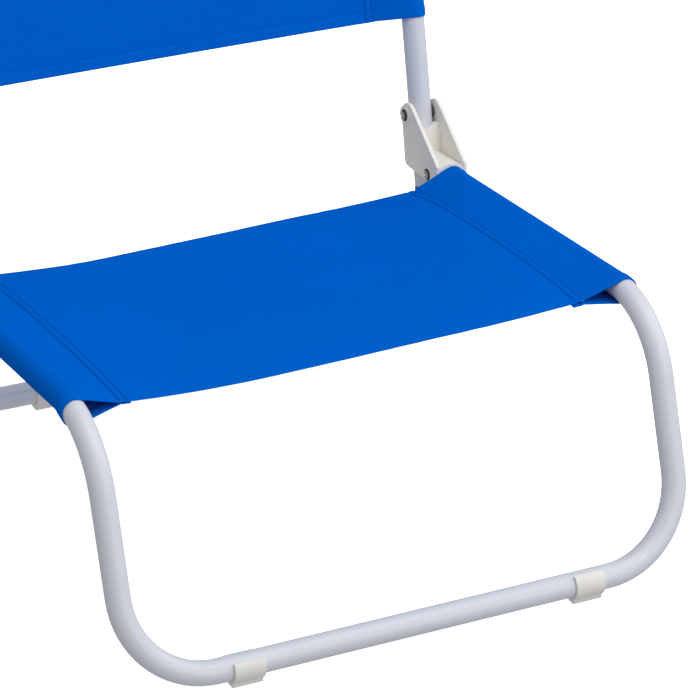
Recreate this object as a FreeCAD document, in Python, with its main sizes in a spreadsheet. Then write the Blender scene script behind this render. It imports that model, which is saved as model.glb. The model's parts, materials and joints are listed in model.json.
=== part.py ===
import FreeCAD, Part
import math
import os

from FreeCAD import Placement, Rotation, Vector

# A low folding beach chair.  Two bent steel tubes cross at the hips: the seat frame (front
# ground bar, legs and seat rails) and the back frame (top hoop and rear leg loop).
# +X runs across the chair, +Y from front to back, +Z up.  The origin lies on the ground,
# in the middle of the chair's bounding box.  Lengths are in millimetres, angles in degrees.

doc = FreeCAD.newDocument("BeachChair")

# --------------------------------------------------------------------------------------
# Driving dimensions
# --------------------------------------------------------------------------------------
DIMENSIONS = [
    ("frame_width", 463.0, "across the chair, tube centre to tube centre"),
    ("tube_radius", 9.5, "outside of the bent tubes"),
    ("tube_wall", 1.2, "steel wall of the bent tubes"),
    ("corner_radius", 68.0, "centre line of the ground bar and hoop corners"),
    ("knee_radius", 72.0, "centre line of the bend from front leg to seat rail"),
    ("front_leg_length", 195.4, "ground bar to the knee's vertex"),
    ("front_lean", 25.1, "front legs, top towards the back"),
    ("rail_slope", 8.3, "seat rails, falling towards the back"),
    ("rail_rivet_along", 333.4, "knee vertex to the rivet that holds the bracket"),
    ("rail_end_past_rivet", 16.0, "cut end of the rail inside its bracket"),
    ("pivot_behind_rivet", 39.0, "hinge axis behind the rail rivet, along the rail"),
    ("pivot_above_rail", 40.5, "hinge axis above the rail's centre line"),
    ("back_lean", 18.4, "back frame, top towards the back"),
    ("hoop_length", 395.0, "hinge axis to the top bar's centre line"),
    ("leg_seam_below_pivot", 80.0, "end of the hoop tube, where the rear leg loop plugs in"),
    ("spigot_length", 38.0, "reduced end of the rear leg loop inside the hoop tube"),
    ("spigot_shoulder", 5.0, "thickened end of the loop where its tube narrows"),
    ("spigot_gap", 0.1, "radial clearance of the reduced end inside the hoop tube"),
    ("spigot_wall", 1.2, "steel wall of the reduced end"),
    ("leg_rivet_below_pivot", 65.0, "small rivet through the plugged joint"),
    ("foot_width", 25.0, "each clip along its ground bar"),
    ("foot_wall", 2.45, "clip thickness round the tube"),
    ("foot_gap", 0.05, "clip bore over the tube"),
    ("foot_opening", 114.5, "mouth of the clip"),
    ("foot_mouth_turn", 14.75, "middle of the mouth, from straight up towards the back"),
    ("front_right_mouth_turn", 34.75, "the same on the front right clip, pushed further round"),
    ("foot_pad_length", 15.4, "flat underside of the clip, front to back"),
    ("foot_pad_height", 7.1, "block under the clip's ring, before the bore is cut"),
    ("foot_pad_drop", 1.2, "flat underside below the clip's ring"),
    ("foot_round", 0.6, "rounded edges of the clip"),
    ("front_foot_x", 142.5, "middle of each front clip from the mid-plane"),
    ("rear_foot_x", 127.5, "middle of each rear clip from the mid-plane"),
    ("cheek_gap", 22.0, "between the two cheeks of a hinge bracket"),
    ("cheek_wall", 3.5, "each cheek"),
    ("cheek_top_radius", 11.0, "rounded top of the cheek, around the hinge axis"),
    ("edge_round", 0.8, "rounded edges of the cheeks"),
    ("arch_height", 12.2, "crown of the bracket's arch above the rail's centre line"),
    ("arch_radius", 18.0, "curve of the arch over the rail"),
    ("arch_front", 16.6, "front edge of the arch ahead of the rail rivet"),
    ("arch_bottom", 6.7, "lower edge of the arch below the rail's centre line"),
    ("web_foot", 23.3, "front face of the stop wall behind the rail rivet, at the arch"),
    ("web_lean", 4.5, "front face of the stop wall, top towards the back"),
    ("web_back", 31.0, "back of the stop wall before the tube's notch is cut"),
    ("web_top", 33.5, "top of the stop wall above the rail's centre line"),
    ("boss_radius", 8.1, "raised ring around the hinge rivet"),
    ("boss_height", 0.8, "raised ring around the hinge rivet"),
    ("boss_round", 0.4, "rounded rim of the raised ring"),
    ("spacer_radius", 5.2, "saddle-shaped spacer on each side of the back tube at the hinge"),
    ("rivet_radius", 3.0, "shank of the hinge and rail rivets"),
    ("rivet_hole_gap", 0.05, "radial clearance round each shank"),
    ("rivet_head_radius", 5.1, "domed head of the hinge and rail rivets"),
    ("rivet_head_height", 2.2, "domed head of the hinge and rail rivets"),
    ("rivet_head_gap", 0.3, "between a head and the face below it"),
    ("leg_rivet_radius", 2.0, "shank of the small leg rivet"),
    ("leg_rivet_head_radius", 3.2, "domed head of the small leg rivet"),
    ("leg_rivet_head_height", 1.2, "domed head of the small leg rivet"),
    ("body_gap", 0.3, "clear space between parts that move past each other"),
    ("cloth_thickness", 1.0, "panel of each sling"),
    ("sleeve_gap", 0.3, "inside of a sleeve over its tube"),
    ("sleeve_wall", 0.8, "cloth of the sleeve"),
    ("seat_cloth_front", 28.0, "front hem of the seat sling behind the knee's vertex"),
    ("seat_cloth_back", 314.0, "rear hem of the seat sling behind the knee's vertex"),
    ("seat_sleeve_front", 54.0, "where the straight part of the seat sleeve starts"),
    ("back_cloth_bottom", 81.0, "lower hem of the back sling above the hinge axis"),
    ("back_cloth_top", 327.0, "upper hem of the back sling above the hinge axis"),
]

sheet = doc.addObject("Spreadsheet::Sheet", "Dimensions")
for row, (alias, value, note) in enumerate(DIMENSIONS, start=1):
    sheet.set(f"A{row}", alias)
    sheet.set(f"B{row}", str(value))
    sheet.set(f"C{row}", note)
    sheet.setAlias(f"B{row}", alias)
doc.recompute()


def size(alias):
    """A driving dimension, read from the sheet."""
    return float(getattr(sheet, alias))


def bind(item, **sizes):
    """Tie properties of a document object to cells of the sheet."""
    for name, formula in sizes.items():
        item.setExpression(name, formula)
    return item


# --------------------------------------------------------------------------------------
# Reference points in the side view, as (y, z)
# --------------------------------------------------------------------------------------
half_width = size("frame_width") / 2
tube_radius = size("tube_radius")
foot_outer = tube_radius + size("foot_gap") + size("foot_wall")
bar_height = foot_outer + size("foot_pad_drop")

leg_angle = math.radians(size("front_lean"))
rail_angle = math.radians(size("rail_slope"))
back_angle = math.radians(size("back_lean"))

LEG_UP = Vector(0, math.sin(leg_angle), math.cos(leg_angle))
RAIL_BACK = Vector(0, math.cos(rail_angle), -math.sin(rail_angle))
RAIL_UP = Vector(0, math.sin(rail_angle), math.cos(rail_angle))
BACK_UP = Vector(0, math.sin(back_angle), math.cos(back_angle))

# Measured from the front bar's centre line first, then moved so that the bounding box,
# from the front clips to the top bar, is centred on the origin.
knee = LEG_UP * size("front_leg_length")
rail_rivet = knee + RAIL_BACK * size("rail_rivet_along")
pivot = rail_rivet + RAIL_BACK * size("pivot_behind_rivet") + RAIL_UP * size("pivot_above_rail")
hoop_top = pivot + BACK_UP * size("hoop_length")
front_bar_y = (foot_outer - hoop_top.y - tube_radius) / 2

front_bar = Vector(0, front_bar_y, bar_height)
knee = front_bar + knee
rail_rivet = front_bar + rail_rivet
pivot = front_bar + pivot
hoop_top = front_bar + hoop_top
rear_leg_length = (pivot.z - bar_height) / math.cos(back_angle)
rear_bar = pivot - BACK_UP * rear_leg_length

RAIL_FRAME = Rotation(Vector(1, 0, 0), -size("rail_slope"))
BACK_FRAME = Rotation(Vector(1, 0, 0), -size("back_lean"))
ALONG_X = Rotation(Vector(0, 1, 0), 90)


# --------------------------------------------------------------------------------------
# Building blocks
# --------------------------------------------------------------------------------------
def across(point, x):
    """A side-view point moved to distance x from the mid-plane."""
    return Vector(x, point.y, point.z)


def rounded_path(points, radii):
    """Straight runs between points, joined at the inner points by tangent arcs."""
    edges = []
    start = points[0]
    for before, corner, after, radius in zip(points, points[1:], points[2:], radii):
        back = (before - corner).normalize()
        ahead = (after - corner).normalize()
        half_angle = back.getAngle(ahead) / 2
        tangent = radius / math.tan(half_angle)
        middle = (back + ahead).normalize()
        centre = corner + middle * (radius / math.sin(half_angle))
        arc_start = corner + back * tangent
        arc_end = corner + ahead * tangent
        arc_middle = centre - middle * radius
        edges.append(Part.LineSegment(start, arc_start).toShape())
        edges.append(Part.Arc(arc_start, arc_middle, arc_end).toShape())
        start = arc_end
    edges.append(Part.LineSegment(start, points[-1]).toShape())
    return Part.Wire(edges)


def swept_bar(name, path, radius_formula):
    """A round bar along a path object, its radius tied to the sheet."""
    section = doc.addObject("Part::Circle", f"{name}_section")
    bind(section, Radius=radius_formula)
    first = path.Shape.Edges[0]
    section.Placement = Placement(
        first.valueAt(first.FirstParameter),
        Rotation(Vector(0, 0, 1), first.tangentAt(first.FirstParameter)),
    )
    bar = doc.addObject("Part::Sweep", name)
    bar.Sections = [section]
    bar.Spine = (path, [f"Edge{i + 1}" for i in range(len(path.Shape.Edges))])
    bar.Solid = True
    bar.Frenet = False
    return bar


def path_object(name, wire):
    path = doc.addObject("Part::Feature", f"{name}_path")
    path.Shape = wire
    return path


def cylinder(name, place, **sizes):
    made = doc.addObject("Part::Cylinder", name)
    bind(made, **sizes)
    made.Placement = place
    return made


def box(name, place, **sizes):
    made = doc.addObject("Part::Box", name)
    bind(made, **sizes)
    made.Placement = place
    return made


def cut(name, base, tool):
    result = doc.addObject("Part::Cut", name)
    result.Base = base
    result.Tool = tool
    return result


def fuse(name, pieces):
    result = doc.addObject("Part::MultiFuse", name)
    result.Shapes = pieces
    return result


def cut_all(name, base, tools):
    """Cut several tools, joined first when there is more than one."""
    tool = tools[0] if len(tools) == 1 else fuse(f"{name}_tools", tools)
    return cut(name, base, tool)


def cross_hole(name, point, x, radius_formula, length_formula):
    """A round cutter along X, centred on x."""
    hole = cylinder(name, Placement(), Radius=radius_formula, Height=length_formula)
    doc.recompute()
    start = across(point, x - hole.Height.Value / 2)
    hole.Placement = Placement(start, ALONG_X)
    return hole


def round_edges(name, base, radius, chosen):
    """Round the edges of base that chosen(edge) picks."""
    doc.recompute()
    result = doc.addObject("Part::Fillet", name)
    result.Base = base
    numbered = enumerate(base.Shape.Edges, start=1)
    result.Edges = [(number, radius, radius) for number, edge in numbered if chosen(edge)]
    return result


def square_to_x(edge):
    """Whether an edge lies in a plane square to the X axis."""
    first = edge.valueAt(edge.FirstParameter)
    middle = edge.valueAt((edge.FirstParameter + edge.LastParameter) / 2)
    last = edge.valueAt(edge.LastParameter)
    return max(abs(first.x - middle.x), abs(last.x - middle.x)) < 0.001


nodes = {}


def keep(item, label):
    """Name a finished sub-part; the label names its file."""
    item.Label = label
    nodes[label] = item
    return item


SIDES = (("left", -1), ("right", 1))
SHANK_HOLE = "Dimensions.rivet_radius + Dimensions.rivet_hole_gap"
LEG_SHANK_HOLE = "Dimensions.leg_rivet_radius + Dimensions.rivet_hole_gap"
THROUGH_TUBE = "4 * Dimensions.tube_radius"


# --------------------------------------------------------------------------------------
# Bent tubes
# --------------------------------------------------------------------------------------
def seat_frame():
    """One tube: rail, knee, front leg, ground bar, and the same again on the other side."""
    rail_end = rail_rivet + RAIL_BACK * size("rail_end_past_rivet")
    points = [
        across(rail_end, -half_width),
        across(knee, -half_width),
        across(front_bar, -half_width),
        across(front_bar, half_width),
        across(knee, half_width),
        across(rail_end, half_width),
    ]
    knee_bend = size("knee_radius")
    corner = size("corner_radius")
    path = path_object("seat_tube", rounded_path(points, [knee_bend, corner, corner, knee_bend]))
    outside = swept_bar("seat_tube_outside", path, "Dimensions.tube_radius")
    inside = swept_bar("seat_tube_inside", path, "Dimensions.tube_radius - Dimensions.tube_wall")
    holes = [
        cross_hole(f"seat_tube_hole_{side}", rail_rivet, sign * half_width, SHANK_HOLE, THROUGH_TUBE)
        for side, sign in SIDES
    ]
    keep(cut_all("seat_tube", outside, [inside] + holes), "seat_frame_tube")


def back_hoop():
    """Inverted U of the backrest; its open ends reach below the hinge."""
    seam = pivot - BACK_UP * size("leg_seam_below_pivot")
    leg_rivet = pivot - BACK_UP * size("leg_rivet_below_pivot")
    points = [
        across(seam, -half_width),
        across(hoop_top, -half_width),
        across(hoop_top, half_width),
        across(seam, half_width),
    ]
    corner = size("corner_radius")
    path = path_object("hoop_tube", rounded_path(points, [corner, corner]))
    outside = swept_bar("hoop_tube_outside", path, "Dimensions.tube_radius")
    inside = swept_bar("hoop_tube_inside", path, "Dimensions.tube_radius - Dimensions.tube_wall")
    holes = []
    for side, sign in SIDES:
        x = sign * half_width
        holes.append(cross_hole(f"hoop_pivot_hole_{side}", pivot, x, SHANK_HOLE, THROUGH_TUBE))
        holes.append(cross_hole(f"hoop_leg_hole_{side}", leg_rivet, x, LEG_SHANK_HOLE, THROUGH_TUBE))
    keep(cut_all("hoop_tube", outside, [inside] + holes), "back_hoop_tube")


def rear_leg_loop():
    """U on the ground behind the seat; its reduced ends plug into the hoop tube."""
    seam = pivot - BACK_UP * size("leg_seam_below_pivot")
    leg_rivet = pivot - BACK_UP * size("leg_rivet_below_pivot")
    points = [
        across(seam, -half_width),
        across(rear_bar, -half_width),
        across(rear_bar, half_width),
        across(seam, half_width),
    ]
    corner = size("corner_radius")
    path = path_object("leg_tube", rounded_path(points, [corner, corner]))
    outside = swept_bar("leg_tube_outside", path, "Dimensions.tube_radius")
    inside = swept_bar("leg_tube_inside", path, "Dimensions.tube_radius - Dimensions.tube_wall")
    spigot_outer = "Dimensions.tube_radius - Dimensions.tube_wall - Dimensions.spigot_gap"
    spigot_inner = spigot_outer + " - Dimensions.spigot_wall"
    pieces = [cut("leg_tube_shell", outside, inside)]
    cutters = []
    for side, sign in SIDES:
        x = sign * half_width
        seam_end = across(seam, x)
        shoulder = across(seam - BACK_UP * size("spigot_shoulder"), x)
        pieces.append(cylinder(
            f"spigot_shoulder_{side}",
            Placement(shoulder, BACK_FRAME),
            Radius="Dimensions.tube_radius - Dimensions.tube_wall / 2",
            Height="Dimensions.spigot_shoulder",
        ))
        pieces.append(cylinder(
            f"spigot_{side}",
            Placement(seam_end, BACK_FRAME),
            Radius=spigot_outer,
            Height="Dimensions.spigot_length",
        ))
        cutters.append(cylinder(
            f"spigot_bore_{side}",
            Placement(shoulder, BACK_FRAME),
            Radius=spigot_inner,
            Height="Dimensions.spigot_shoulder + Dimensions.spigot_length",
        ))
        cutters.append(cross_hole(f"leg_hole_{side}", leg_rivet, x, LEG_SHANK_HOLE, THROUGH_TUBE))
    solid = fuse("leg_tube_solid", pieces)
    keep(cut_all("leg_tube", solid, cutters), "rear_leg_loop_tube")


# --------------------------------------------------------------------------------------
# Hinge brackets: a plastic clevis that sits over the end of each seat rail
# --------------------------------------------------------------------------------------
def belt_outline(circles):
    """Outline of a belt round circles (y, z, radius), given anticlockwise."""
    def tangent(first, second):
        span = Vector(0, second[0] - first[0], second[1] - first[1])
        along = Vector(span).normalize()
        outward = Vector(0, along.z, -along.y)
        tilt = (first[2] - second[2]) / span.Length
        normal = outward * math.sqrt(1 - tilt * tilt) + along * tilt
        ends = []
        for y, z, radius in (first, second):
            ends.append(Vector(0, y, z) + normal * radius)
        return ends

    following = circles[1:] + circles[:1]
    runs = [tangent(first, second) for first, second in zip(circles, following)]
    edges = []
    for index, (y, z, radius) in enumerate(circles):
        arrive = runs[index - 1][1]
        leave = runs[index][0]
        centre = Vector(0, y, z)
        middle = centre + ((arrive - centre) + (leave - centre)).normalize() * radius
        edges.append(Part.Arc(arrive, middle, leave).toShape())
        edges.append(Part.LineSegment(leave, runs[index][1]).toShape())
    return Part.Wire(edges)


# Rounded corners of a cheek, from the rail rivet: (behind, above, radius).
CHEEK_CORNERS = [
    (-15.0, -5.0, 2.0),
    (35.0, 1.2, 4.8),
    (size("pivot_behind_rivet") - 4, size("pivot_above_rail") + 0.5, size("cheek_top_radius")),
    (-14.9, 10.6, 2.0),
]
CORE_OVERLAP = 0.5
CUT_CLEAR = 2.0
LONG_CUT = 200.0
ALONG_RAIL = Rotation(Vector(1, 0, 0), -90)


def cheeks(name):
    """The two flat sides of a bracket, one each side of the rail, with rounded edges."""
    outline = doc.addObject("Part::Feature", f"{name}_outline")
    outline.Shape = Part.Face(belt_outline(CHEEK_CORNERS))
    cheek_middle = (size("cheek_gap") + size("cheek_wall")) / 2
    rounded = []
    for place, sign in (("inner", -1), ("outer", 1)):
        plate = doc.addObject("Part::Extrusion", f"{name}_cheek_{place}_plate")
        plate.Base = outline
        plate.Dir = Vector(1, 0, 0)
        plate.Solid = True
        plate.Symmetric = True
        bind(plate, LengthFwd="Dimensions.cheek_wall")
        plate.Placement.Base = Vector(sign * cheek_middle, 0, 0)
        rounded.append(round_edges(f"{name}_cheek_{place}", plate, size("edge_round"), square_to_x))
    return rounded


def bracket_core(name, pivot_here):
    """Arch over the rail and the stop wall behind it, notched for the back tube."""
    cheek_gap = size("cheek_gap")
    front = -size("arch_front")
    core = box(
        f"{name}_core_block",
        Placement(Vector(-cheek_gap / 2 - CORE_OVERLAP, front, -size("arch_bottom")), Rotation()),
        Length=f"Dimensions.cheek_gap + 2 * {CORE_OVERLAP}",
        Width="Dimensions.web_back + Dimensions.arch_front",
        Height="Dimensions.web_top + Dimensions.arch_bottom",
    )
    # The space over the arch, back to the leaning front face of the stop wall.
    web_face = Rotation(Vector(1, 0, 0), -size("web_lean"))
    web_foot = Vector(0, size("web_foot"), size("arch_height"))
    over_arch_corner = Vector(-cheek_gap, -LONG_CUT, -2 * size("arch_height"))
    over_arch = box(
        f"{name}_over_arch",
        Placement(web_foot + web_face.multVec(over_arch_corner), web_face),
        Length="2 * Dimensions.cheek_gap",
        Width=str(LONG_CUT),
        Height="3 * Dimensions.web_top",
    )
    arch = cylinder(
        f"{name}_arch",
        Placement(Vector(0, front - LONG_CUT / 2, size("arch_height") - size("arch_radius")), ALONG_RAIL),
        Radius="Dimensions.arch_radius",
        Height=str(LONG_CUT),
    )
    bore_length = f"Dimensions.arch_front + Dimensions.rail_end_past_rivet + 1 + {CUT_CLEAR}"
    rail_bore = cylinder(
        f"{name}_rail_bore",
        Placement(Vector(0, front - CUT_CLEAR, 0), ALONG_RAIL),
        Radius="Dimensions.tube_radius + Dimensions.foot_gap",
        Height=bore_length,
    )
    rail_mouth = box(
        f"{name}_rail_mouth",
        Placement(Vector(-tube_radius, front - CUT_CLEAR, -2 * tube_radius), Rotation()),
        Length="2 * Dimensions.tube_radius",
        Width=bore_length,
        Height="2 * Dimensions.tube_radius",
    )
    tube_direction = RAIL_FRAME.inverted().multVec(BACK_UP)
    rest_notch = cylinder(
        f"{name}_rest_notch",
        Placement(
            pivot_here - tube_direction * (LONG_CUT / 2),
            Rotation(Vector(0, 0, 1), tube_direction),
        ),
        Radius="Dimensions.tube_radius + Dimensions.body_gap",
        Height=str(LONG_CUT),
    )
    folded_notch = cylinder(
        f"{name}_folded_notch",
        Placement(pivot_here - Vector(0, LONG_CUT / 2, 0), ALONG_RAIL),
        Radius="Dimensions.tube_radius + Dimensions.body_gap + 0.1",
        Height=str(LONG_CUT),
    )
    over = cut(f"{name}_carve", over_arch, arch)
    cutters = [over, rail_bore, rail_mouth, rest_notch, folded_notch]
    return cut_all(f"{name}_core", core, cutters)


def hinge_rings(name, pivot_here):
    """A raised ring on the outside of each cheek, around the hinge rivet."""
    reach = size("cheek_gap") / 2 + size("cheek_wall") + size("boss_height")
    boss = cylinder(
        f"{name}_boss",
        Placement(pivot_here - Vector(reach, 0, 0), ALONG_X),
        Radius="Dimensions.boss_radius",
        Height="Dimensions.cheek_gap + 2 * Dimensions.cheek_wall + 2 * Dimensions.boss_height",
    )
    rounded = round_edges(f"{name}_boss_rounded", boss, size("boss_round"), square_to_x)
    gap = box(
        f"{name}_boss_gap",
        Placement(Vector(-size("cheek_gap") / 2, 0, 0), Rotation()),
        Length="Dimensions.cheek_gap",
        Width="3 * Dimensions.pivot_behind_rivet",
        Height="3 * Dimensions.pivot_above_rail",
    )
    return cut(f"{name}_rings", rounded, gap)


def hinge_bracket(side, sign):
    """Two cheeks, an arch over the rail and a notched wall that the back tube rests on."""
    name = f"bracket_{side}"
    pivot_here = Vector(0, size("pivot_behind_rivet"), size("pivot_above_rail"))
    pieces = cheeks(name) + [bracket_core(name, pivot_here), hinge_rings(name, pivot_here)]
    across_bracket = "3 * Dimensions.cheek_gap"
    holes = [
        cross_hole(f"{name}_rail_hole", Vector(0, 0, 0), 0, SHANK_HOLE, across_bracket),
        cross_hole(f"{name}_pivot_hole", pivot_here, 0, SHANK_HOLE, across_bracket),
    ]
    bracket = cut_all(name, fuse(f"{name}_body", pieces), holes)
    bracket.Placement = Placement(across(rail_rivet, sign * half_width), RAIL_FRAME)
    keep(bracket, f"hinge_bracket_{side}")


def hinge_spacers(side, sign):
    """Saddle-shaped spacers that keep the back tube centred between the cheeks."""
    x = sign * half_width
    for place, towards in (("inner", -sign), ("outer", sign)):
        name = f"hinge_spacer_{side}_{place}"
        reach = "Dimensions.cheek_gap / 2 - Dimensions.body_gap"
        turn = ALONG_X if towards > 0 else Rotation(Vector(0, 1, 0), -90)
        plug = cylinder(
            f"{name}_plug",
            Placement(across(pivot, x), turn),
            Radius="Dimensions.spacer_radius",
            Height=reach,
        )
        saddle = cylinder(
            f"{name}_saddle",
            Placement(across(pivot - BACK_UP * (LONG_CUT / 2), x), BACK_FRAME),
            Radius="Dimensions.tube_radius + Dimensions.foot_gap",
            Height=str(LONG_CUT),
        )
        hole = cross_hole(f"{name}_hole", pivot, x, SHANK_HOLE, THROUGH_TUBE)
        keep(cut_all(name, plug, [saddle, hole]), name)


# --------------------------------------------------------------------------------------
# Rivets
# --------------------------------------------------------------------------------------
SHANK_INTO_HEAD = 0.1


def rivet(label, point, x, grip, kind):
    """A shank along X with a domed head at each end, the heads grip apart.

    kind is the start of the sheet's names for this size of rivet.
    """
    head = f"Dimensions.{kind}_head_radius"
    height = f"Dimensions.{kind}_head_height"
    shank = cylinder(
        f"{label}_shank",
        Placement(Vector(-grip / 2 - SHANK_INTO_HEAD, 0, 0), ALONG_X),
        Radius=f"Dimensions.{kind}_radius",
        Height=f"{grip + 2 * SHANK_INTO_HEAD}",
    )
    head_radius = size(f"{kind}_head_radius")
    head_height = size(f"{kind}_head_height")
    dome_radius = (head_radius ** 2 + head_height ** 2) / (2 * head_height)
    pieces = [shank]
    for place, end in (("inner", -1), ("outer", 1)):
        dome = doc.addObject("Part::Sphere", f"{label}_dome_{place}")
        bind(dome, Radius=f"({head} * {head} + {height} * {height}) / (2 * {height})")
        dome.Placement.Base = Vector(end * (grip / 2 - dome_radius + head_height), 0, 0)
        head_side = box(
            f"{label}_head_side_{place}",
            Placement(Vector(end * (grip / 2 + LONG_CUT / 2) - LONG_CUT / 2, -LONG_CUT / 2, -LONG_CUT / 2),
                      Rotation()),
            Length=str(LONG_CUT),
            Width=str(LONG_CUT),
            Height=str(LONG_CUT),
        )
        cap = doc.addObject("Part::Common", f"{label}_head_{place}")
        cap.Base = dome
        cap.Tool = head_side
        pieces.append(cap)
    whole = fuse(label, pieces)
    whole.Placement = Placement(across(point, x), Rotation())
    keep(whole, label)


def all_rivets():
    over_cheeks = size("cheek_gap") + 2 * size("cheek_wall")
    over_rings = over_cheeks + 2 * size("boss_height") + 2 * size("rivet_head_gap")
    leg_rivet = pivot - BACK_UP * size("leg_rivet_below_pivot")
    for side, sign in SIDES:
        x = sign * half_width
        rivet(f"pivot_rivet_{side}", pivot, x, over_rings, "rivet")
        rivet(f"rail_rivet_{side}", rail_rivet, x, over_cheeks, "rivet")
        rivet(f"leg_joint_rivet_{side}", leg_rivet, x, 2 * tube_radius, "leg_rivet")


# --------------------------------------------------------------------------------------
# Foot clips
# --------------------------------------------------------------------------------------
def foot_clip(label, bar, x, mouth_turn):
    """A snap-on C clip with a flat pad under the ground bar."""
    half_clip = size("foot_width") / 2
    past_the_mouth = Rotation(Vector(0, 0, 1), 180 - mouth_turn + size("foot_opening") / 2)
    ring = cylinder(
        f"{label}_ring",
        Placement(Vector(-half_clip, 0, 0), ALONG_X.multiply(past_the_mouth)),
        Radius="Dimensions.tube_radius + Dimensions.foot_gap + Dimensions.foot_wall",
        Height="Dimensions.foot_width",
        Angle="360 - Dimensions.foot_opening",
    )
    pad = box(
        f"{label}_pad",
        Placement(Vector(-half_clip, -size("foot_pad_length") / 2, -bar_height), Rotation()),
        Length="Dimensions.foot_width",
        Width="Dimensions.foot_pad_length",
        Height="Dimensions.foot_pad_height",
    )
    bore = cylinder(
        f"{label}_bore",
        Placement(Vector(-2 * half_clip, 0, 0), ALONG_X),
        Radius="Dimensions.tube_radius + Dimensions.foot_gap",
        Height="2 * Dimensions.foot_width",
    )

    def rim(edge):
        return edge.Curve.TypeId == "Part::GeomCircle" and square_to_x(edge)

    soft = size("foot_round")
    soft_ring = round_edges(f"{label}_soft_ring", ring, soft, rim)
    soft_pad = round_edges(f"{label}_soft_pad", pad, soft, lambda edge: True)
    clip = cut(label, fuse(f"{label}_solid", [soft_ring, soft_pad]), bore)
    clip.Placement = Placement(across(bar, x), Rotation())
    keep(clip, label)


# --------------------------------------------------------------------------------------
# Slings: a flat panel with a sleeve over the tube at each side
# --------------------------------------------------------------------------------------
def sling(label, frame_rotation, base, panel_start, panel_end, sleeve_start):
    """Built in its own frame: +Y along the tubes from base, +Z square to the panel."""
    sleeve_outer = "Dimensions.tube_radius + Dimensions.sleeve_gap + Dimensions.sleeve_wall"
    sleeve_inner = "Dimensions.tube_radius + Dimensions.sleeve_gap"
    reach = half_width - tube_radius - size("sleeve_gap") - size("sleeve_wall") / 2
    pieces = [
        box(
            f"{label}_panel",
            Placement(Vector(-reach, size(panel_start), -size("cloth_thickness") / 2), Rotation()),
            Length="Dimensions.frame_width - 2 * Dimensions.tube_radius - 2 * Dimensions.sleeve_gap"
                   " - Dimensions.sleeve_wall",
            Width=f"Dimensions.{panel_end} - Dimensions.{panel_start}",
            Height="Dimensions.cloth_thickness",
        )
    ]
    bores = []
    for side, sign in SIDES:
        start = Placement(Vector(sign * half_width, size(sleeve_start), 0), ALONG_RAIL)
        length = f"Dimensions.{panel_end} - Dimensions.{sleeve_start}"
        pieces.append(cylinder(f"{label}_sleeve_{side}", start, Radius=sleeve_outer, Height=length))
        bores.append(cylinder(f"{label}_bore_{side}", start, Radius=sleeve_inner, Height=length))
    whole = cut_all(label, fuse(f"{label}_solid", pieces), bores)
    whole.Placement = Placement(base, frame_rotation)
    keep(whole, label)


# --------------------------------------------------------------------------------------
# The chair
# --------------------------------------------------------------------------------------
seat_frame()
back_hoop()
rear_leg_loop()
for side, sign in SIDES:
    hinge_bracket(side, sign)
    hinge_spacers(side, sign)
    front_turn = size("front_right_mouth_turn" if side == "right" else "foot_mouth_turn")
    foot_clip(f"front_foot_{side}", front_bar, sign * size("front_foot_x"), front_turn)
    foot_clip(f"rear_foot_{side}", rear_bar, sign * size("rear_foot_x"), size("foot_mouth_turn"))
all_rivets()
sling("seat_sling", RAIL_FRAME, knee, "seat_cloth_front", "seat_cloth_back", "seat_sleeve_front")
standing = BACK_FRAME.multiply(Rotation(Vector(1, 0, 0), 90))
sling("back_sling", standing, pivot, "back_cloth_bottom", "back_cloth_top", "back_cloth_bottom")

doc.recompute()
for item in doc.Objects:
    if "Invalid" in item.State or "Error" in item.State:
        raise RuntimeError(f"{item.Name} did not build: {item.State}")

os.makedirs("parts", exist_ok=True)
for label, item in nodes.items():
    shape = item.Shape
    if shape.isNull() or not shape.isValid() or not shape.Solids:
        raise RuntimeError(f"{label} has no valid solid")
    shape.exportStep(f"parts/{label}.step")
    print(f"{label:24s} solids {len(shape.Solids)} volume {shape.Volume:10.1f}")
print("hinge axis at", pivot)
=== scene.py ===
import bisect
import json
import math
from dataclasses import dataclass

import bmesh
import bpy
from mathutils import Matrix, Vector, noise


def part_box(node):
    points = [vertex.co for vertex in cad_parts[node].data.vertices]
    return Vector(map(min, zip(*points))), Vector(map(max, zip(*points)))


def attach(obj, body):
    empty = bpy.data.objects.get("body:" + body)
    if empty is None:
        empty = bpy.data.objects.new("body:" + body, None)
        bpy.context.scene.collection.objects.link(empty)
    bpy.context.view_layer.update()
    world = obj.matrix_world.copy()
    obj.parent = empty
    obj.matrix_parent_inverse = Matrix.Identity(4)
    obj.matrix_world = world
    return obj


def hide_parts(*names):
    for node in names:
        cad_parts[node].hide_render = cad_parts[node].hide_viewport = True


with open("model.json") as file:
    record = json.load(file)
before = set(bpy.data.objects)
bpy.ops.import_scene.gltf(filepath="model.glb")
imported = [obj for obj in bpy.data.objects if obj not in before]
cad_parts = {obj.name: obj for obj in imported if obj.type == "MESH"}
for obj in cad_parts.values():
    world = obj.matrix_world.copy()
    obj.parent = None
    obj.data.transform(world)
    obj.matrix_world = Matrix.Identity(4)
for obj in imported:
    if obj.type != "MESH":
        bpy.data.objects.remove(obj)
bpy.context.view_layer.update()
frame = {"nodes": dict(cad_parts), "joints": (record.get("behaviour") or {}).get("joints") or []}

# --------------------------------------------------------------------------------------
# Sizes of the chair, in metres and degrees, and places read from the frame
# --------------------------------------------------------------------------------------
MM = 0.001
TUBE_RADIUS = 9.5 * MM
RAIL_SLOPE = 8.3
BACK_LEAN = 18.4
KNEE_RADIUS = 72 * MM
KNEE_TO_RIVET = 333.4 * MM      # from where the two straight runs would meet
KNEE_TANGENT = 53.2 * MM        # from there to where the rail turns straight

pivot = Vector(frame["joints"][0]["pos_m"])
rivet_low, rivet_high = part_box("rail_rivet_right")
rail_rivet = (rivet_low + rivet_high) / 2
HALF_WIDTH = rail_rivet.x
pivot.x = 0
rail_rivet.x = 0


def tilt(degrees):
    return Matrix.Rotation(math.radians(degrees), 4, "X")


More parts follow.
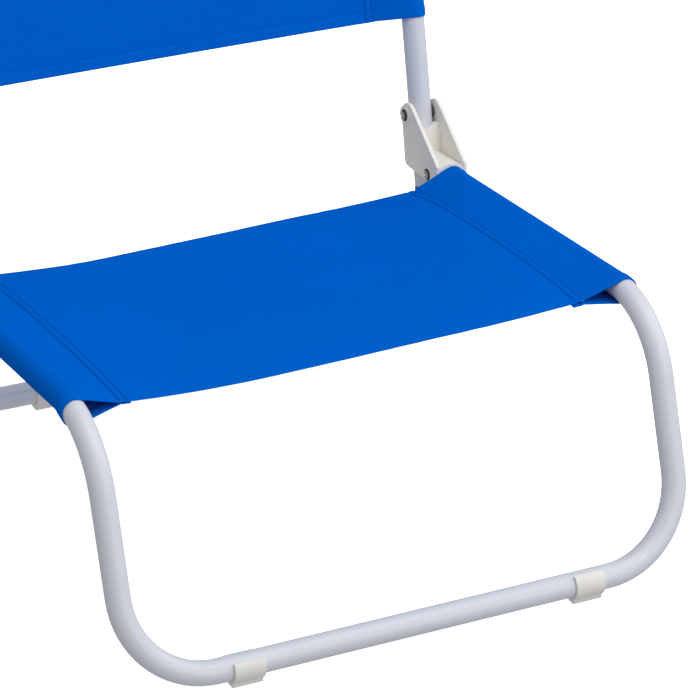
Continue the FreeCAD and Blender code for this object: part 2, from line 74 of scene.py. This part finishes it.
# Each sling is built with +Y along its tubes, +X across and +Z towards the sitter.
SEAT_PLACE = Matrix.Translation(rail_rivet) @ tilt(-RAIL_SLOPE) @ Matrix.Translation((0, -KNEE_TO_RIVET, 0))
BACK_PLACE = Matrix.Translation(pivot) @ tilt(-BACK_LEAN) @ tilt(90)


# --------------------------------------------------------------------------------------
# Shader arithmetic
# --------------------------------------------------------------------------------------
class Value:
    """A shader socket that takes part in Python sums."""

    def __init__(self, finish, socket):
        self.finish = finish
        self.socket = socket

    def math(self, operation, first, second=None):
        inputs = {0: first} if second is None else {0: first, 1: second}
        return self.finish.node("ShaderNodeMath", {"operation": operation}, inputs)

    def __add__(self, other):
        return self.math("ADD", self, other)

    def __sub__(self, other):
        return self.math("SUBTRACT", self, other)

    def __rsub__(self, other):
        return self.math("SUBTRACT", other, self)

    def __mul__(self, other):
        return self.math("MULTIPLY", self, other)

    def __truediv__(self, other):
        return self.math("DIVIDE", self, other)

    def __pow__(self, other):
        return self.math("POWER", self, other)

    def __abs__(self):
        return self.math("ABSOLUTE", self)

    def lesser(self, other):
        return self.math("MINIMUM", self, other)

    def sine(self):
        return self.math("SINE", self)

    __radd__ = __add__
    __rmul__ = __mul__


class Finish:
    """One material: its nodes are made by node(), its shader by surface()."""

    def __init__(self, name):
        self.material = bpy.data.materials.new(name)
        self.material.use_nodes = True
        self.tree = self.material.node_tree
        self.tree.nodes.clear()
        self.output = self.tree.nodes.new("ShaderNodeOutputMaterial")

    def node(self, kind, settings=None, inputs=None, output=0):
        made = self.tree.nodes.new(kind)
        for name, value in (settings or {}).items():
            if name == "stops":
                self.set_stops(made.color_ramp, value)
            else:
                setattr(made, name, value)
        for name, value in (inputs or {}).items():
            socket = made.inputs[name]
            if isinstance(value, Value):
                self.tree.links.new(value.socket, socket)
            else:
                socket.default_value = value
        return Value(self, made.outputs[output])

    @staticmethod
    def set_stops(ramp, stops):
        while len(ramp.elements) < len(stops):
            ramp.elements.new(0.5)
        for element, (place, shade) in zip(ramp.elements, stops):
            element.position = place
            element.color = (shade, shade, shade, 1)

    def place(self):
        return self.node("ShaderNodeTexCoord", output="Object")

    def axes(self, vector):
        """The X, Y and Z of a vector, each as a value."""
        split = self.node("ShaderNodeSeparateXYZ", None, {0: vector})
        return [Value(self, socket) for socket in split.socket.node.outputs]

    def noise(self, where, scale, detail=4, roughness=0.55):
        inputs = {"Vector": where, "Scale": scale, "Detail": detail, "Roughness": roughness}
        return self.node("ShaderNodeTexNoise", None, inputs, "Fac")

    def ramp(self, value, *stops):
        return self.node("ShaderNodeValToRGB", {"stops": stops}, {"Fac": value})

    def mix(self, factor, first, second):
        """Between two colours, as factor goes from 0 to 1."""
        inputs = {0: factor, 6: (*first, 1) if isinstance(first, tuple) else first}
        inputs[7] = (*second, 1) if isinstance(second, tuple) else second
        return self.node("ShaderNodeMix", {"data_type": "RGBA"}, inputs, 2)

    def bump(self, height, distance, strength):
        inputs = {"Height": height, "Distance": distance, "Strength": strength}
        return self.node("ShaderNodeBump", None, inputs)

    def surface(self, **inputs):
        named = {name.replace("_", " "): value for name, value in inputs.items()}
        shader = self.node("ShaderNodeBsdfPrincipled", None, named)
        self.tree.links.new(shader.socket, self.output.inputs["Surface"])
        return self.material


# --------------------------------------------------------------------------------------
# Materials
# --------------------------------------------------------------------------------------
def powder_coat():
    """Glossy bluish-white powder coat with fine orange peel, faint smudges and scuffs."""
    f = Finish("white_powder_coat")
    place = f.place()
    smudge = f.noise(place, 9, 5)
    scuff = f.ramp(f.noise(place, 60, 6, 0.7), (0.66, 0.0), (0.74, 1.0))
    peel = f.noise(place, 900, 2)
    clean = f.mix(smudge, (0.62, 0.65, 0.72), (0.67, 0.70, 0.77))
    worn = (0.45, 0.45, 0.46)
    return f.surface(
        Base_Color=f.mix(scuff * 0.12, clean, worn),
        Roughness=0.50 + smudge * 0.10 + scuff * 0.2,
        Normal=f.bump(peel + scuff * -0.4, 0.06 * MM, 0.5),
        Coat_Weight=0.45,
        Coat_Roughness=0.06,
        Specular_IOR_Level=0.35,
    )


def cream_plastic(name, shade):
    """Satin moulded plastic, slightly warm, with a fine grain and handling marks."""
    f = Finish(name)
    place = f.place()
    cloud = f.noise(place, 40)
    grain = f.noise(place, 2600, 2)
    grime_and_painted_shade = f.ramp(f.noise(place, 130, 6, 0.7), (0.60, 0.0), (0.78, 1.0))
    duller = tuple(0.94 * level for level in shade)
    handled = (0.50, 0.46, 0.38)
    return f.surface(
        Base_Color=f.mix(grime_and_painted_shade * 0.2, f.mix(cloud, duller, shade), handled),
        Roughness=0.42 + cloud * 0.12 + grime_and_painted_shade * 0.1,
        Normal=f.bump(grain + cloud * 2, 0.04 * MM, 0.5),
        Subsurface_Weight=0.12,
        Subsurface_Radius=(3 * MM, 2.5 * MM, 2 * MM),
        Subsurface_Scale=0.6,
    )


def from_rivet_axis(f, place):
    """Distance from the nearest rivet's axis, as a share of its head's radius."""
    _, y, z = f.axes(place)
    nearest = None
    for kind in ("pivot", "rail", "leg_joint"):
        low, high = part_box(f"{kind}_rivet_right")
        centre = (low + high) / 2
        head_radius = (high.z - low.z) / 2
        away = ((y - centre.y) ** 2 + (z - centre.z) ** 2) ** 0.5 / head_radius
        nearest = away if nearest is None else nearest.lesser(away)
    return nearest


def rivet_steel():
    """Zinc-plated steel heads: a polished crown left bright as a painted highlight, a dark painted
    reflection ring and a near-black painted shade at the rim.
    """
    f = Finish("zinc_rivet_steel")
    place = f.place()
    stain = f.ramp(f.noise(place, 500, 5, 0.65), (0.42, 0.0), (0.68, 1.0))
    # Painted reflection: by distance from the rivet's axis the head is painted bright on the crown as a
    # highlight, dark in a ring, grey, then near black at the rim as painted shade.
    painted_reflection_stops = ((0.22, 0.0), (0.38, 0.85), (0.50, 0.5), (0.62, 0.5), (0.78, 1.0))
    dark = f.ramp(from_rivet_axis(f, place), *painted_reflection_stops)
    steel = f.mix(stain * 0.4, (0.95, 0.95, 0.93), (0.35, 0.34, 0.32))
    # Near black: the painted shade at the rim of each head.
    grime_and_painted_shade = (0.035, 0.034, 0.032)
    return f.surface(
        Base_Color=f.mix(dark, steel, grime_and_painted_shade),
        Metallic=0.9,
        Roughness=0.26 + stain * 0.2 + dark * 0.2,
        Normal=f.bump(f.noise(place, 3000, 3), 0.04 * MM, 0.6),
    )


def nylon_with_painted_gap_shade():
    """Plain dark grey nylon with a matt, slightly rubbed skin, near black partly as the nylon's own colour
    and partly as painted shade in the gap beside the tube.
    """
    f = Finish("dark_grey_nylon_painted_gap_shade")
    rub = f.noise(f.place(), 300)
    return f.surface(
        # Partly painted shade: near black so the gap between the tube and the bracket's cheek looks dark.
        Base_Color=f.mix(rub, (0.045, 0.045, 0.05), (0.085, 0.085, 0.09)),
        Roughness=0.5 + rub * 0.2,
        Normal=f.bump(rub, 0.04 * MM, 0.5),
    )


YARN = 0.55 * MM


def woven_blue():
    """Saturated blue plain-woven polyester: over-and-under yarns with painted shade in the hollows between
    them, slubs and soft fuzz.
    """
    f = Finish("blue_woven_polyester")
    cloth = f.node("ShaderNodeUVMap", {"uv_map": "cloth"}, output="UV")
    across, along, _ = f.axes(cloth)
    warp = abs((across / YARN * math.pi).sine())
    weft = abs((along / YARN * math.pi).sine())
    checker = f.node("ShaderNodeTexChecker", None, {"Scale": 1 / YARN, "Vector": cloth}, "Fac")
    over = warp * checker + weft * (1 - checker)
    slub = f.noise(cloth, 240, 3)
    fade = f.noise(cloth, 6)
    fuzz = f.noise(cloth, 1500, 3, 0.7)
    base = f.mix(fade, (0.0, 0.116, 0.59), (0.0, 0.136, 0.68))
    # Partly painted shade: yarn crowns are painted lighter and the hollows between yarns darker, on top of
    # the slubs' own random tone.
    yarns = f.mix(over * 0.5 + slub * 0.3, (0.0, 0.074, 0.42), (0.0, 0.186, 0.83))
    return f.surface(
        Base_Color=f.mix(0.4, base, yarns),
        Roughness=0.78 + fuzz * 0.15,
        Normal=f.bump(over + slub * 0.5 + fuzz * 0.3, 0.12 * MM, 0.6),
        Specular_IOR_Level=0.0,
    )


def thread_painted_dark():
    """Twisted polyester thread, painted much darker than the cloth as painted shade in the stitch holes and
    grooves.
    """
    f = Finish("blue_thread_painted_shade")
    strand = f.noise(f.place(), 4000, 2)
    return f.surface(
        # Painted shade: these thread colours are far darker than the cloth's blue to stand for the shade
        # round the stitches.
        Base_Color=f.mix(strand, (0.0, 0.022, 0.14), (0.0, 0.045, 0.25)),
        Roughness=0.7,
        Normal=f.bump(strand, 0.05 * MM, 0.6),
        Specular_IOR_Level=0.05,
    )


CLOTH_FINISH = woven_blue()
THREAD_PAINTED_SHADE_FINISH = thread_painted_dark()
FINISHES = (
    ("_tube", powder_coat()),
    ("bracket", cream_plastic("cream_bracket_plastic", (0.87, 0.855, 0.80))),
    ("foot", cream_plastic("cream_clip_plastic", (0.80, 0.78, 0.74))),
    ("spacer", nylon_with_painted_gap_shade()),
    ("rivet", rivet_steel()),
)
for name, node in frame["nodes"].items():
    for part, material in FINISHES:
        if part in name:
            node.data.materials.clear()
            node.data.materials.append(material)


# --------------------------------------------------------------------------------------
# Slings: panel, sleeves round the tubes, flaps sewn under the panel, hems turned under.
# Their own sizes are in millimetres: x from the middle, y along the tubes, t towards the
# sitter.
# --------------------------------------------------------------------------------------
CLOTH = 0.55            # one layer of cloth
LAYER = 0.7             # from one layer to the next where they lie together
SLEEVE_PLAY = 0.08      # between the tube and the cloth round it
TUBE_AT = HALF_WIDTH / MM
SLEEVE_RADIUS = TUBE_RADIUS / MM + CLOTH / 2 + SLEEVE_PLAY
SEAMS = (189.0, 195.0)  # the two rows of stitches that close each sleeve
FLAP_END = 186.0
HEM = 9.0               # turned under at the front and rear edges and glued
HEM_THICK = 8.0         # the sleeve is wider over the hem, as far as this from the edge
EDGE_ZONE = 14.0        # and is plain from here on

STITCH_PITCH = 3.9
STITCH_LENGTH = 2.9
STITCH_MARGIN = 2.0     # plain cloth before the first stitch
THREAD_RADIUS = 0.3
THREAD_SIDES = 6
THREAD_SUNK = 0.25      # height of a stitch's middle over the cloth, in thread radii

SKEW_AT = 200.0         # an edge's skew is given here
SEAM_WITH_TUBE = 0.1    # how much of the tube's own drop the seam follows
FRONT_EASE = 0.22       # shares of the cloth's length over which the seam is lifted
REAR_EASE = 0.16
LIFTED_FROM = 90.0      # the panel is pulled up from here out to the seam
SLID_UNDER = 0.8        # share of the sleeve's slip that is left on its underside
TAB_FROM = 0.2          # share of the underside at which the tab begins

# Spacing of the cloth's grid
PANEL_STEP = 8.0
PANEL_STEPS = 22
PANEL_LAST = 182.0      # one more place before the flap's end
SEAM_GAPS = (0, 0.4, 0.9, 1.6, 2.6)
UPPER_STEPS = 14
WRAP_STEPS = 22
LOWER_STEPS = 12
HIDDEN_HEM_ROWS = (HEM, 7.4, 5.6, 3.8, 2.0, 1.0)
SHOWN_HEM_ROWS = (1.0, 2.0, 3.4, 4.8, 6.2, 7.4, 8.2, HEM, 9.8, 10.8, 12.2, EDGE_ZONE)
TURN_STEPS = 8
INNER_ROWS = 96

# The cloth's surface
GROOVE_DEPTH = {"panel": 0.45, "flap": 0.12}    # where each row of stitches pulls in
GROOVE_WIDTH = 0.85
PUFF = {"panel": 0.4, "flap": 0.15}             # between the two rows
PUCKER = 0.22                                   # along the inner row
PUCKER_REACH = 9.0
PUCKER_LENGTH = 5.5
HEM_RIPPLE = 0.12
HEM_RIPPLE_LENGTH = 9.0
HEM_RIPPLE_REACH = 8.0
HEM_RIPPLE_FROM = 2.0
HEM_LINE_WIDTH = 1.1
REAR_HALF = 150.0                               # the rear hem ripples by itself
SLACK = (0.5, 70.0, 55.0, 5)                    # depth, length along x and y, seed
DIMPLES = (0.12, 16.0, 19.0, 9)


@dataclass
class Shape:
    """What differs between the two slings."""
    name: str
    node: str
    body: str
    place: Matrix
    tube: object          # y -> height of the tube's centre line and how much it is stretched
    front: tuple          # edge at the middle, and how much further on it is at SKEW_AT
    rear: tuple
    slip: float           # how far the sleeves have slid forward along the tubes
    seam_height: float
    lift: dict            # side -> how much higher that side's seam lies along its middle
    sag: float
    uneven: float         # how much higher the panel's right half hangs, and lower its left
    hem_line: float       # depth of the line where the turned hem ends
    tabs: dict            # side -> how far that flap sticks out past the front edge
    creases: tuple        # (x, y, direction, length, width, depth)
    seed: float


def smooth(low, high, value):
    step = min(max((value - low) / (high - low), 0), 1)
    return step * step * (3 - 2 * step)


def bell(distance, width):
    return math.exp(-((distance / width) ** 2))


def half_stations():
    """Places along the cloth, from the middle of the panel out to one flap's end."""
    close = [offset for gap in SEAM_GAPS for offset in (-gap, gap)]
    across = {PANEL_STEP * step for step in range(PANEL_STEPS + 1)}
    across |= {seam + offset for seam in SEAMS for offset in close if seam + offset <= SEAMS[1]}
    across |= {sum(SEAMS) / 2, PANEL_LAST}
    flap = sorted({x for x in across if FLAP_END < x < SEAMS[1]} | {FLAP_END}, reverse=True)
    stations = [("panel", x) for x in sorted(across)]
    stations += [("upper", step / UPPER_STEPS) for step in range(1, UPPER_STEPS)]
    stations += [("wrap", step / WRAP_STEPS) for step in range(WRAP_STEPS + 1)]
    stations += [("lower", step / LOWER_STEPS) for step in range(1, LOWER_STEPS + 1)]
    stations += [("flap", x) for x in flap]
    return stations


def all_rows():
    """Rows as (edge, distance from it, layer): layer 0 is the outside, 1 the turned hem."""
    turn = LAYER / 2
    hem = [(distance, 1.0) for distance in HIDDEN_HEM_ROWS]
    for step in range(TURN_STEPS + 1):
        angle = math.pi * step / TURN_STEPS
        hem.append((turn - turn * math.sin(angle), 0.5 + 0.5 * math.cos(angle)))
    hem += [(distance, 0.0) for distance in SHOWN_HEM_ROWS]
    rows = [("front", distance, layer) for distance, layer in hem]
    rows += [("between", step / INNER_ROWS, 0.0) for step in range(1, INNER_ROWS)]
    rows += [("rear", distance, layer) for distance, layer in reversed(hem)]
    return rows


def touch_angle(from_x, from_t, tube_t, radius, side):
    """Where a straight run of cloth meets the tube: side is 1 over it, -1 under it."""
    run_x = TUBE_AT - from_x
    run_t = tube_t - from_t
    opening = math.asin(radius / math.hypot(run_x, run_t))
    return math.atan2(run_t, run_x) + side * (opening + math.pi / 2)


def seam_lift(shape, side, y):
    """The seam is pulled up towards the tube, except near the ends of the cloth."""
    front_run = max(y - shape.front[0], 0) / (shape.rear[0] - shape.front[0])
    rear_run = max(1 - front_run, 0)
    risen = (1 - math.exp(-front_run / FRONT_EASE)) * (1 - math.exp(-rear_run / REAR_EASE))
    return shape.lift[side] * risen


def panel_drop(shape, side, lift, x):
    """How far the panel hangs below its seam."""
    hang = shape.sag * (1 - (x / SEAMS[1]) ** 4)
    not_lifted = lift * (1 - smooth(LIFTED_FROM, SEAMS[0], x))
    return hang + not_lifted - shape.uneven * side * math.sin(math.pi * x / SEAMS[1])


def section(shape, side, part, value, y, fold):
    """Middle of the cloth in one slice across the chair, as on the right-hand side."""
    tube_t, stretch = shape.tube(y)
    radius = SLEEVE_RADIUS + LAYER * fold
    lift = seam_lift(shape, side, y)
    seam_t = shape.seam_height + SEAM_WITH_TUBE * tube_t + lift
    flap_t = seam_t - LAYER * (1 + 2 * fold)
    if part in ("panel", "flap"):
        level = seam_t if part == "panel" else flap_t
        return value, level - panel_drop(shape, side, lift, value)
    over = touch_angle(SEAMS[1], seam_t, tube_t, radius, 1)
    under = touch_angle(SEAMS[1], flap_t, tube_t, radius, -1)
    if part == "wrap":
        angle = over + (under - over) * value
        return TUBE_AT + radius * math.cos(angle), tube_t + radius * stretch * math.sin(angle)
    angle, start = (over, seam_t) if part == "upper" else (under, flap_t)
    end_x = TUBE_AT + radius * math.cos(angle)
    end_t = tube_t + radius * stretch * math.sin(angle)
    share = value if part == "upper" else 1 - value
    return SEAMS[1] + (end_x - SEAMS[1]) * share, start + (end_t - start) * share


def edges(shape, side, part, value, x):
    """Front and rear edge of the cloth at a place along its width."""
    slid = {
        "panel": 0.0,
        "upper": value,
        "wrap": 1 - (1 - SLID_UNDER) * value,
        "lower": SLID_UNDER * (1 - value),
        "flap": 0.0,
    }
    outwards = side * min(x, TUBE_AT) / SKEW_AT
    front, rear = (middle + skew * outwards for middle, skew in (shape.front, shape.rear))
    if part in ("lower", "flap"):
        front -= shape.tabs[side] * (1 if part == "flap" else smooth(TAB_FROM, 1, value))
    return front - shape.slip * slid[part], rear


def seam_relief(shape, part, side, x, y):
    """Grooves under the stitches, the puffed strip between them and their puckers."""
    rise = 0.0
    for seam in SEAMS:
        rise -= GROOVE_DEPTH[part] * bell(x - seam, GROOVE_WIDTH)
    if SEAMS[0] < x < SEAMS[1]:
        rise += PUFF[part] * math.sin(math.pi * (x - SEAMS[0]) / (SEAMS[1] - SEAMS[0]))
    pucker = noise.noise(Vector((side * 3.7, y / PUCKER_LENGTH, shape.seed)))
    return rise + PUCKER * bell(x - SEAMS[0], PUCKER_REACH) * pucker


def hem_relief(shape, side, x, y, from_edge):
    """Ripples along the turned hem and the line where it ends."""
    near_hem = bell(max(from_edge - HEM_RIPPLE_FROM, 0), HEM_RIPPLE_REACH)
    ripple = noise.noise(Vector((side * x / HEM_RIPPLE_LENGTH, 4.1, shape.seed + (y > REAR_HALF))))
    return HEM_RIPPLE * near_hem * ripple - shape.hem_line * bell(from_edge - HEM, HEM_LINE_WIDTH)


def slack_relief(shape, side, x, y):
    """The cloth's broad waves and small dimples."""
    rise = 0.0
    for depth, length_x, length_y, seed in (SLACK, DIMPLES):
        where = Vector((side * x / length_x, y / length_y, shape.seed + seed))
        rise += depth * noise.noise(where)
    return rise


def crease_relief(shape, side, x, y):
    """Creases that start at a strained point and fade out over their length."""
    rise = 0.0
    for crease_x, crease_y, direction, length, width, depth in shape.creases:
        heading = math.radians(direction)
        away_x = side * x - crease_x
        away_y = y - crease_y
        along = away_x * math.cos(heading) + away_y * math.sin(heading)
        off = away_y * math.cos(heading) - away_x * math.sin(heading)
        fade = smooth(0, 0.25 * length, along) * (1 - smooth(0.4 * length, length, along))
        rise -= depth * fade * bell(off, width)
    return rise


def relief(shape, part, side, x, y, from_edge):
    """How far the outside of the cloth stands proud of the plain section."""
    rise = hem_relief(shape, side, x, y, from_edge)
    if part in ("panel", "flap"):
        rise += seam_relief(shape, part, side, x, y)
    if part != "wrap":
        rise += slack_relief(shape, side, x, y) + crease_relief(shape, side, x, y)
    return rise


def plain_row(shape, columns, edge, distance):
    """One row of the plain section: x, y, t and the distance from the nearer edge."""
    row = []
    for side, part, value in columns:
        x = value if part in ("panel", "flap") else TUBE_AT
        front, rear = edges(shape, side, part, value, x)
        if edge == "front":
            y = front + distance
        elif edge == "rear":
            y = rear - distance
        else:
            y = front + EDGE_ZONE + distance * (rear - front - 2 * EDGE_ZONE)
        from_edge = min(y - front, rear - y)
        fold = 1 - smooth(HEM_THICK, EDGE_ZONE, from_edge)
        section_x, section_t = section(shape, side, part, value, y, fold)
        row.append((side * section_x, y, section_t, from_edge))
    return row


def cloth_grid(shape):
    """The sling's columns and rows, its points in metres and their outward normals."""
    half = half_stations()
    columns = [(-1, part, value) for part, value in reversed(half[1:])]
    columns += [(1, part, value) for part, value in half]
    rows = all_rows()
    turn = shape.place.to_3x3()
    points, normals = [], []
    for edge, distance, layer in rows:
        plain = plain_row(shape, columns, edge, distance)
        row_points, row_normals = [], []
        for place, (side, part, value) in enumerate(columns):
            before = plain[max(place - 1, 0)]
            after = plain[min(place + 1, len(plain) - 1)]
            x, y, t, from_edge = plain[place]
            out = Vector((-(after[2] - before[2]), 0, after[0] - before[0])).normalized()
            rise = relief(shape, part, side, abs(x), y, from_edge) - LAYER * layer
            row_points.append(shape.place @ ((Vector((x, y, t)) + out * rise) * MM))
            row_normals.append(turn @ out)
        points.append(row_points)
        normals.append(row_normals)
    return columns, rows, points, normals


def runs(path):
    """Distance along a path at each of its points."""
    lengths = [0.0]
    for first, second in zip(path, path[1:]):
        lengths.append(lengths[-1] + (second - first).length)
    return lengths


def link_smooth(name, mesh, finish):
    """An object of this mesh, smooth-shaded and in the scene."""
    mesh.polygons.foreach_set("use_smooth", [True] * len(mesh.polygons))
    piece = bpy.data.objects.new(name, mesh)
    bpy.context.scene.collection.objects.link(piece)
    piece.data.materials.append(finish)
    return piece


def cloth_piece(shape, columns, rows, points):
    """The sling's cloth, with its width and length when laid flat."""
    mesh = bpy.data.meshes.new(shape.name)
    across = len(columns)
    flat = [point for row in points for point in row]
    faces = [
        (corner, corner + 1, corner + across + 1, corner + across)
        for row in range(len(rows) - 1)
        for corner in range(row * across, row * across + across - 1)
    ]
    mesh.from_pydata(flat, [], faces)
    run_across = runs(points[len(rows) // 2])
    run_along = runs([row[across // 2] for row in points])
    uv = mesh.uv_layers.new(name="cloth")
    for loop in mesh.loops:
        row, column = divmod(loop.vertex_index, across)
        uv.data[loop.index].uv = (run_across[column], run_along[row])
    piece = link_smooth(shape.name, mesh, CLOTH_FINISH)
    thick = piece.modifiers.new("cloth thickness", "SOLIDIFY")
    thick.thickness = CLOTH * MM
    thick.offset = 0
    return piece, run_across[-1], run_along[-1]


# Rings of one stitch: share of its length, width and height, both in thread radii
STITCH_RINGS = ((0.0, 0.3, -0.7), (0.12, 0.8, 0.0), (0.5, 1.0, 0.45), (0.88, 0.8, 0.0), (1.0, 0.3, -0.7))


def add_stitch(thread, start, end, out):
    """One stitch: a short rounded bar that dips into the cloth at both ends."""
    along = end - start
    side = along.cross(out).normalized()
    made = []
    for share, width, height in STITCH_RINGS:
        centre = start + along * share + out * (height * THREAD_RADIUS * MM)
        ring = []
        for step in range(THREAD_SIDES):
            angle = 2 * math.pi * step / THREAD_SIDES
            reach = (side * math.cos(angle) + out * math.sin(angle)) * (width * THREAD_RADIUS * MM)
            ring.append(thread.verts.new(centre + reach))
        made.append(ring)
    for first, second in zip(made, made[1:]):
        for step in range(THREAD_SIDES):
            following = (step + 1) % THREAD_SIDES
            thread.faces.new((first[step], first[following], second[following], second[step]))
    thread.faces.new(reversed(made[0]))
    thread.faces.new(made[-1])


def sew(thread, path, outward):
    """Stitches along a path on the outside of the cloth."""
    lengths = runs(path)
    lift = (CLOTH / 2 + THREAD_SUNK * THREAD_RADIUS) * MM

    def at(run):
        place = min(max(bisect.bisect_right(lengths, run) - 1, 0), len(path) - 2)
        share = (run - lengths[place]) / (lengths[place + 1] - lengths[place])
        out = outward[place].lerp(outward[place + 1], share).normalized()
        return path[place].lerp(path[place + 1], share) + out * lift, out

    count = int((lengths[-1] / MM - 2 * STITCH_MARGIN) / STITCH_PITCH)
    for number in range(count):
        start = (STITCH_MARGIN + number * STITCH_PITCH) * MM
        first, out = at(start)
        last, _ = at(start + STITCH_LENGTH * MM)
        add_stitch(thread, first, last, out)


def stitching(shape, columns, rows, points, normals):
    """All the stitches of a sling, as one mesh of thread."""
    thread = bmesh.new()
    outside = [index for index, (edge, distance, layer) in enumerate(rows) if layer == 0]
    for index, (side, part, value) in enumerate(columns):
        if part in ("panel", "flap") and value in SEAMS:
            path = [points[row][index] for row in outside]
            outward = [normals[row][index] for row in outside]
            sew(thread, path, outward)
    mesh = bpy.data.meshes.new(f"{shape.name}_stitching")
    thread.to_mesh(mesh)
    thread.free()
    return link_smooth(f"{shape.name}_stitching", mesh, THREAD_PAINTED_SHADE_FINISH)


def knee_drop(y):
    """The seat tube's centre line, which starts to bend down at the front of the sling."""
    before_rail = max(KNEE_TANGENT / MM - y, 0)
    bend = KNEE_RADIUS / MM
    level = math.sqrt(bend ** 2 - before_rail ** 2)
    return level - bend, bend / level


def straight_tube(y):
    return 0.0, 1.0


SEAT = Shape(
    name="seat_sling_cloth",
    node="seat_sling",
    body="seat",
    place=SEAT_PLACE,
    tube=knee_drop,
    front=(37.8, 4.0),
    rear=(309.0, 6.0),
    slip=3.3,
    seam_height=-4.0,
    lift={-1: 6.8, 1: 8.3},
    sag=4.0,
    uneven=1.2,
    hem_line=0.0,
    tabs={-1: -1.0, 1: 1.5},
    creases=(
        (184, 306, -150, 60, 2.6, 0.5),
        (186, 296, -165, 42, 2.2, 0.35),
        (199, 308, -60, 34, 2.4, 0.5),
        (-184, 40, 35, 45, 2.4, 0.3),
    ),
    seed=1.0,
)
BACK = Shape(
    name="back_sling_cloth",
    node="back_sling",
    body="back",
    place=BACK_PLACE,
    tube=straight_tube,
    front=(79.8, 2.0),
    rear=(327.0, 0.0),
    slip=0.0,
    seam_height=-3.0,
    lift={-1: 0.0, 1: 0.0},
    sag=3.0,
    uneven=0.0,
    hem_line=0.35,
    tabs={-1: 0.0, 1: 0.0},
    creases=(
        (197, 86, 40, 44, 2.6, 0.7),
        (198, 100, 48, 50, 2.4, 0.5),
        (-197, 86, 140, 44, 2.6, 0.7),
        (186, 84, 150, 40, 2.4, 0.35),
        (197, 322, -40, 40, 2.6, 0.6),
        (-197, 322, -140, 40, 2.6, 0.6),
    ),
    seed=2.0,
)


def make_sling(shape):
    columns, rows, points, normals = cloth_grid(shape)
    cloth, width, length = cloth_piece(shape, columns, rows, points)
    thread = stitching(shape, columns, rows, points, normals)
    for piece in (cloth, thread):
        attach(piece, shape.body)
    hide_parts(shape.node)


make_sling(SEAT)
make_sling(BACK)


# --------------------------------------------------------------------------------------
# Floor, light and camera
# --------------------------------------------------------------------------------------
FLOOR_SIZE = 40
FLOOR_GLOW = 0.85
WORLD_GLOW = 0.47
LAMP_AIM = (0, 0, 0.2)
LAMPS = (               # name, place, width, watts
    ("over", (0.3, -0.7, 3.0), 2.6, 34),
    ("front", (0.9, -2.8, 1.5), 2.2, 16),
    ("side", (2.6, -0.5, 2.0), 2.0, 20),
    ("glint", (0.8, -2.4, 2.4), 0.22, 5),
)


def pale_floor():
    """A floor that glows evenly and throws no light up at the chair."""
    material = Finish("pale_studio_floor").surface(
        Base_Color=(0.9, 0.9, 0.9, 1),
        Roughness=0.9,
        Emission_Color=(1, 1, 1, 1),
        Emission_Strength=FLOOR_GLOW,
    )
    bpy.ops.mesh.primitive_plane_add(size=FLOOR_SIZE)
    floor = bpy.context.object
    floor.name = "floor"
    floor.data.materials.append(material)
    floor.visible_diffuse = False
    floor.visible_glossy = False


def soft_lamp(name, place, width, power):
    lamp = bpy.data.lights.new(name, "AREA")
    lamp.shape = "DISK"
    lamp.size = width
    lamp.energy = power
    item = bpy.data.objects.new(name, lamp)
    item.location = place
    item.rotation_euler = (Vector(LAMP_AIM) - Vector(place)).to_track_quat("-Z", "Y").to_euler()
    bpy.context.scene.collection.objects.link(item)


def studio():
    scene = bpy.context.scene
    scene.view_settings.view_transform = "Standard"
    world = bpy.data.worlds.new("studio")
    world.use_nodes = True
    background = world.node_tree.nodes["Background"]
    background.inputs["Color"].default_value = (1, 1, 1, 1)
    background.inputs["Strength"].default_value = WORLD_GLOW
    scene.world = world
    for lamp in LAMPS:
        soft_lamp(*lamp)


CAMERA_YAW = 29.15
CAMERA_DIP = 30.52
CAMERA_ROLL = 4.2
CAMERA_AIM = Vector((-5.4, -166.1, 179.8)) * MM
CAMERA_DISTANCE = 2.6218
CAMERA_LENS = 181.87
CAMERA_SENSOR = 36
CAMERA_REACH = 100


def camera():
    yaw = math.radians(CAMERA_YAW)
    dip = math.radians(CAMERA_DIP)
    roll = math.radians(CAMERA_ROLL)
    look = Vector((math.sin(yaw) * math.cos(dip), math.cos(yaw) * math.cos(dip), -math.sin(dip)))
    level = Vector((math.cos(yaw), -math.sin(yaw), 0))
    upright = level.cross(look)
    right = level * math.cos(roll) + upright * math.sin(roll)
    up = right.cross(look)
    lens = bpy.data.cameras.new("camera")
    lens.lens = CAMERA_LENS
    lens.sensor_width = CAMERA_SENSOR
    lens.clip_end = CAMERA_REACH
    item = bpy.data.objects.new("camera", lens)
    turn = Matrix((right, up, -look)).transposed().to_4x4()
    item.matrix_world = Matrix.Translation(CAMERA_AIM - look * CAMERA_DISTANCE) @ turn
    bpy.context.scene.collection.objects.link(item)
    bpy.context.scene.camera = item


pale_floor()
studio()
camera()
